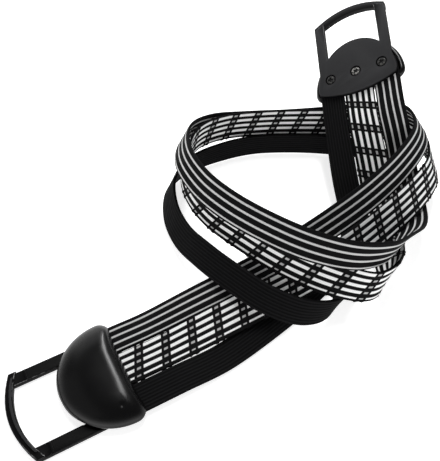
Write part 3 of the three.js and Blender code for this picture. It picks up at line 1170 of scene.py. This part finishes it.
class BandPath:
    """Smooth path through stations that carry a place and a roll about the path."""

    fine: ClassVar[int] = 6000
    nearby: ClassVar[float] = 1e-4

    def __init__(self, stations: np.ndarray) -> None:
        """Measures the path.

        Args:
            stations: one row of x, y, z in metres and roll in degrees for each station.
        """
        before = 2 * stations[0] - stations[1]
        after = 2 * stations[-1] - stations[-2]
        self.stations = np.vstack((before, stations, after))
        self.spans = len(stations) - 1
        self.turns = np.linspace(0.0, self.spans, self.fine)
        points = self.at(self.turns)[:, :3]
        steps = np.linalg.norm(np.diff(points, axis=0), axis=1)
        self.reached = np.concatenate(([0.0], np.cumsum(steps)))
        self.length = float(self.reached[-1])

    def at(self, turns: np.ndarray) -> np.ndarray:
        """Place and roll on a cubic through the stations.

        Args:
            turns: path values counted in stations.

        Returns:
            One row of place and roll for each value.
        """
        k = np.clip(np.floor(turns).astype(int), 0, self.spans - 1)
        t = (turns - k)[:, None]
        p0, p1, p2, p3 = (self.stations[k + i] for i in range(4))
        slope0 = (p2 - p0) / 2
        slope1 = (p3 - p1) / 2
        cubic = 2 * p1 - 2 * p2 + slope0 + slope1
        square = -3 * p1 + 3 * p2 - 2 * slope0 - slope1
        return p1 + t * (slope0 + t * (square + t * cubic))

    def frames(self, distances: np.ndarray) -> tuple[np.ndarray, np.ndarray, np.ndarray]:
        """Places, width directions and face directions at distances along the path.

        Args:
            distances: metres from the first end.

        Returns:
            Three arrays with one row for each distance.
        """
        turns = np.interp(distances, self.reached, self.turns)
        here = self.at(turns)
        ahead = self.at(np.clip(turns + self.nearby, 0, self.spans))[:, :3]
        behind = self.at(np.clip(turns - self.nearby, 0, self.spans))[:, :3]
        along = unit(ahead - behind)
        left = unit(np.cross((0.0, 0.0, 1.0), along))
        up = np.cross(along, left)
        roll = np.radians(here[:, 3:4])
        wide = left * np.cos(roll) + up * np.sin(roll)
        return here[:, :3], wide, np.cross(along, wide)


@dataclass
class ElasticBand:
    """One woven elastic band from its end in the first clamp to its end in the second."""

    name: str
    node: str
    side: float
    width: float
    route: tuple[Station, ...]
    weave: Weave
    ribs: RibPattern
    rows: RowPattern = field(default_factory=RowPattern)
    light: Colour = (0.4, 0.4, 0.4)
    dashes: DashPattern = field(default_factory=DashPattern)
    edge_inner: ClassVar[float] = 1.2 * MM
    edge_outer: ClassVar[float] = 0.3 * MM
    rib_power: ClassVar[float] = 0.5
    thickness: float = 2.2 * MM
    edge_share: float = 0.42
    nub: float = 0.6 * MM
    ring_step: float = 1.28 * MM
    face_points: int = 55
    edge_points: int = 6
    path_points: int = 240

    def stations(self, first: ClampPlace, second: ClampPlace, sizes: ClampSizes) -> np.ndarray:
        """Route with the straight stretches in both clamps.

        Args:
            first: the clamp where the band starts.
            second: the clamp where it ends.
            sizes: the clamps' shared sizes.

        Returns:
            One row of place and roll for each station.
        """
        straight = (sizes.band_end, sizes.band_leave, 2 * sizes.band_leave - sizes.band_end)
        begin = first.origin + first.across * self.side + first.dome * sizes.band_level
        end = second.origin - second.across * self.side + second.dome * sizes.band_level
        rows = [(*(begin - first.out * back), 0.0) for back in straight]
        rows += [(x * MM, y * MM, z * MM, roll) for x, y, z, roll in self.route]
        left = Vector((0, 0, 1)).cross(second.out).normalized()
        up = second.out.cross(left)
        roll = math.degrees(math.atan2(-second.across.dot(up), -second.across.dot(left)))
        rows += [(*(end - second.out * back), roll) for back in reversed(straight)]
        return np.array(rows)

    def section(self) -> tuple[np.ndarray, np.ndarray]:
        """Flat section with round edges.

        Returns:
            Places and outward directions, width first.
        """
        radius = self.edge_share * self.thickness
        flat = self.width / 2 - radius
        across = np.linspace(flat, -flat, self.face_points)
        ones = np.ones_like(across)
        upper = np.column_stack((across, radius * ones))
        lower = np.column_stack((across[::-1], -radius * ones))
        left = arc((-flat, 0.0), (radius, radius), 90, 270, self.edge_points + 2)[1:-1]
        right = arc((flat, 0.0), (radius, radius), -90, 90, self.edge_points + 2)[1:-1]
        places = np.vstack((upper, left, lower, right))
        centres = np.column_stack((np.clip(places[:, 0], -flat, flat), np.zeros(len(places))))
        return places, unit(places - centres)

    def build(self, path: BandPath) -> bpy.types.Object:
        """The smooth band, with its distances across, along and along the wrap of its ticks stored.

        Args:
            path: the band's path.

        Returns:
            The band before its relief.
        """
        rings = np.linspace(0.0, path.length, int(path.length / self.ring_step) + 1)
        centre, wide, face = (part[:, None, :] for part in path.frames(rings))
        places, outward = self.section()
        count = len(places)
        vertices = (centre + places[None, :, :1] * wide + places[None, :, 1:] * face).reshape(-1, 3)
        normals = (outward[None, :, :1] * wide + outward[None, :, 1:] * face).reshape(-1, 3)
        obj = new_object(self.name, vertices, tube_faces(len(rings), count, False))
        recalculate(obj)
        across = np.tile(self.width / 2 - places[:, 0], len(rings))
        along = np.repeat(rings, count)
        upper = np.tile(np.where(places[:, 1] >= 0.0, 1.0, -1.0), len(rings))
        slant = upper * self.dashes.period / (2 * self.width)
        set_attribute(obj.data, "across", across)
        set_attribute(obj.data, "along", along)
        set_attribute(obj.data, "wrap", along + slant * across + self.dashes.start)
        set_attribute(obj.data, "outward", normals)
        return obj

    def relief_values(self) -> dict[str, float]:
        """This band's inputs of the relief group.

        Returns:
            A number for each input, named by its pattern and its part.
        """
        dashes = self.dashes.numbers()
        patterns = {
            "band": {"width": self.width, "nub": self.nub if self.weave is Weave.DASHES else 0.0},
            "rib": vars(self.ribs),
            "row": {**vars(self.rows), "softness": 2 * self.rows.softness},
            "dash": {**dashes, "softness": 2 * dashes["softness"]},
        }
        return {f"{p} {part}": float(v) for p, parts in patterns.items() for part, v in parts.items()}

    @classmethod
    def relief_maker(cls, labels: Sequence[str]) -> NodeMaker:
        """Group that raises ribs, light rows and the wefts' turns at the edges from a smooth band.

        Args:
            labels: names of the inputs, each a pattern and its part.

        Returns:
            The group.
        """
        maker = NodeMaker("woven_relief", dict.fromkeys(labels, "NodeSocketFloat"))
        inputs: dict[str, dict[str, Value]] = {}
        for label in labels:
            pattern, part = label.split()
            inputs.setdefault(pattern, {})[part] = maker.read(label)
        band, rib, row = inputs["band"], inputs["rib"], inputs["row"]
        across = maker.named("across")
        half = band["width"] / 2
        edge = abs(across - half).fade(half - cls.edge_inner, half - cls.edge_outer)
        nub = edge * tick_mask(maker.named("wrap"), inputs["dash"]) * band["nub"]
        light = row_mask(across, row)
        ridge = across.wave(band["width"] / rib["count"]).calc("POWER", cls.rib_power)
        height = ridge * rib["rise"] * (1 - light) + light * row["rise"] + nub
        sockets = {"Vector": maker.named("outward", "FLOAT_VECTOR"), "Scale": height}
        offset = maker.graph.add("ShaderNodeVectorMath", sockets, operation="SCALE")
        sockets = {"Geometry": maker.read("Geometry"), "Offset": offset}
        maker.close(maker.graph.add("GeometryNodeSetPosition", sockets))
        return maker

    def finish(self, maker: NodeMaker, path: BandPath, exit_point: Vector) -> None:
        """Args:
            maker: the relief group.
            path: the band's path.
            exit_point: where the band leaves the first clamp; not used.
        """
        obj = self.build(path)
        looks = (self.weave, self.rows, self.dashes, self.ribs, self.width, self.light)
        woven = WovenFinish(f"{self.name}_weave", *looks)
        maker.run(obj, {**self.relief_values(), "Material": woven.material()})
        obj.data.shade_smooth()
        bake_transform(obj)
        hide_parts(self.node)
        centreline = path.frames(np.linspace(0.0, path.length, self.path_points))[0]
        report(obj)
        log.info("%s: %.3f m long", self.name, path.length)


def aimed(data: Any, place: Vector, toward: Vector) -> bpy.types.Object:
    """Links a camera or a lamp.

    Args:
        data: the camera or the lamp.
        place: where it stands.
        toward: the direction it looks in.

    Returns:
        The new object.
    """
    obj = bpy.data.objects.new(data.name, data)
    obj.location = place
    obj.rotation_euler = toward.to_track_quat("-Z", "Y").to_euler()
    bpy.context.scene.collection.objects.link(obj)
    return obj


@dataclass(frozen=True)
class PhotoCamera:
    """Camera at the photograph's view."""

    aim: Point = (131 * MM, 73 * MM, 0.0)
    heading: float = 61.7
    elevation: float = 50.0
    distance: float = 446 * MM
    focal_pixels: float = 600.0
    sensor: float = 36.0
    nearest: float = 0.01

    def build(self) -> None:
        """Makes the camera and sets it as the scene's."""
        heading = math.radians(self.heading)
        elevation = math.radians(self.elevation)
        flat = math.cos(elevation)
        view = Vector((flat * math.cos(heading), flat * math.sin(heading), -math.sin(elevation)))
        data = bpy.data.cameras.new("photo_camera")
        data.sensor_width = self.sensor
        data.lens = self.sensor * self.focal_pixels / max(PHOTO_SIZE)
        data.clip_start = self.nearest
        bpy.context.scene.camera = aimed(data, Vector(self.aim) - view * self.distance, view)


@dataclass(frozen=True)
class SoftLight:
    """One large soft lamp, aimed at the middle of the strap."""

    name: str
    place: Point
    width: float
    length: float
    power: float
    aim: Point = (0.16, 0.06, 0.02)

    def build(self) -> None:
        """Makes the lamp."""
        data = bpy.data.lights.new(self.name, "AREA")
        data.shape = "RECTANGLE"
        data.size = self.width
        data.size_y = self.length
        data.energy = self.power
        aimed(data, Vector(self.place), Vector(self.aim) - Vector(self.place))


@dataclass(frozen=True)
class Studio:
    """Pale floor, soft lamps and a bright surround."""

    floor_half: float = 6.0
    floor_level: float = -0.2 * MM
    horizon: float = 1.0
    zenith: float = 0.1
    sky_fade: Pair = (0.05, 0.55)
    near_side: float = 1.5
    near: Pair = (-0.474, -0.88)
    near_fade: Pair = (0.05, 0.8)
    near_rise: Pair = (0.15, 0.7)
    lamps: tuple[SoftLight, ...] = (
        SoftLight("long_lamp", (0.61, 0.7, 1.03), width=0.22, length=1.5, power=18.5),
        SoftLight("far_lamp", (0.1, 1.55, 0.69), width=1.2, length=1.2, power=3.6),
        SoftLight("left_lamp", (-1.25, 0.35, 0.95), width=1.8, length=1.8, power=2.2),
    )

    def build(self) -> None:
        """Makes the floor, the surround and the lamps."""
        half = self.floor_half
        corners = [(-half, -half), (half, -half), (half, half), (-half, half)]
        floor = new_object("studio_floor", [(x, y, self.floor_level) for x, y in corners], [(0, 1, 2, 3)])
        dress(floor, FloorFinish().material())
        self.surround()
        bpy.context.scene.view_settings.view_transform = "Standard"
        for lamp in self.lamps:
            lamp.build()

    def surround(self) -> None:
        """Makes a surround that is bright at the horizon, most of all on the near side."""
        world = bpy.data.worlds.new("studio_surround")
        world.use_nodes = True
        graph = Graph(world.node_tree)
        ray = graph.add("ShaderNodeTexCoord", None, "Generated")
        parts = graph.add("ShaderNodeSeparateXYZ", {"Vector": ray}, "X")
        toward = parts * self.near[0] + parts.out("Y") * self.near[1]
        high = parts.out("Z")
        sky = self.horizon + high.fade(*self.sky_fade) * (self.zenith - self.horizon)
        low = 1 - high.fade(*self.near_rise)
        strength = sky + toward.fade(*self.near_fade) * low * self.near_side
        light = graph.add("ShaderNodeBackground", {"Color": (1, 1, 1, 1), "Strength": strength})
        graph.add("ShaderNodeOutputWorld", {"Surface": light})
        bpy.context.scene.world = world


def make_bands() -> tuple[ElasticBand, ...]:
    """The three bands, from the striped side to the black side.

    Returns:
        The bands, not yet built.
    """
    striped_rows = RowPattern(
        first=3.6 * MM, pitch=4.87 * MM, count=4, width=1.35 * MM, last_width=0.95 * MM, rise=0.2 * MM
    )
    dashed_rows = RowPattern(
        first=1.85 * MM, pitch=4.6 * MM, count=5, width=2.1 * MM, last_width=1.3 * MM, rise=0.2 * MM
    )
    fine_ribs = RibPattern(count=20.0, rise=0.07 * MM)
    bold_ribs = RibPattern(count=9.0, rise=0.3 * MM)
    return (
        ElasticBand(
            "woven_band_striped", "band_striped", side=21.6 * MM, width=20 * MM, route=STRIPED_ROUTE,
            weave=Weave.LINES, ribs=fine_ribs, rows=striped_rows, light=(0.57, 0.57, 0.57),
        ),
        ElasticBand(
            "woven_band_dashed", "band_dashed", side=-0.5 * MM, width=23 * MM, route=DASHED_ROUTE,
            weave=Weave.DASHES, ribs=fine_ribs, rows=dashed_rows, light=(0.95, 0.95, 0.95),
        ),
        ElasticBand(
            "woven_band_black", "band_black", side=-22.1 * MM, width=19 * MM, route=BLACK_ROUTE,
            weave=Weave.PLAIN, ribs=bold_ribs,
        ),
    )


def main() -> None:
    """Builds the camera, the bands, both clamps and the studio."""
    logging.basicConfig(level=logging.INFO, format="%(name)s %(message)s")
    PhotoCamera().build()
    sizes = ClampSizes()
    first = ClampPlace.from_frame("end_a", "plate_face_a", Vector((-1, 0, 0)))
    second = ClampPlace.from_frame("end_b", "plate_face_b", Vector(frame["joints"][0]["axis"]))
    bands = make_bands()
    relief = ElasticBand.relief_maker(list(bands[0].relief_values()))
    for band in bands:
        path = BandPath(band.stations(first, second, sizes))
        exit_point = first.origin + first.across * band.side
        exit_point += first.dome * sizes.band_level + first.out * sizes.mouth
        band.finish(relief, path, exit_point)
    jet = (0.0024, 0.0024, 0.0026)
    slate = (0.0305, 0.0305, 0.032)
    satin = MouldedFinish(
        "satin_black_plastic", colour=jet, face=jet, edge_highlight_and_wear=(0.03, 0.03, 0.031), roughness=0.25, specular=0.29
    ).material()
    # matt plastic: its pale edge colour is a painted edge highlight mixed with rub wear
    matt = MouldedFinish(
        "matt_grey_plastic", colour=jet, face=slate, edge_highlight_and_wear=(0.34, 0.34, 0.345), roughness=0.5, specular=0.07
    ).material()
    steel = ScrewFinish().material()
    rows = ScrewSet.row_maker()
    for place, end, worn in ((first, "a", -1), (second, "b", 1)):
        DomeCover(place, sizes, f"moulded_dome_{end}", (f"dome_cover_{end}",)).finish(satin)
        HookMoulding(place, sizes, f"hook_moulding_{end}", (f"hook_frame_{end}",)).finish(matt)
        screws = tuple(f"screw_{end}_{k}" for k in (1, 2, 3))
        ScrewSet(place, sizes, f"cross_screws_{end}", screws, rows, worn).finish(steel)
    Studio().build()


if __name__ == "__main__":
    main()
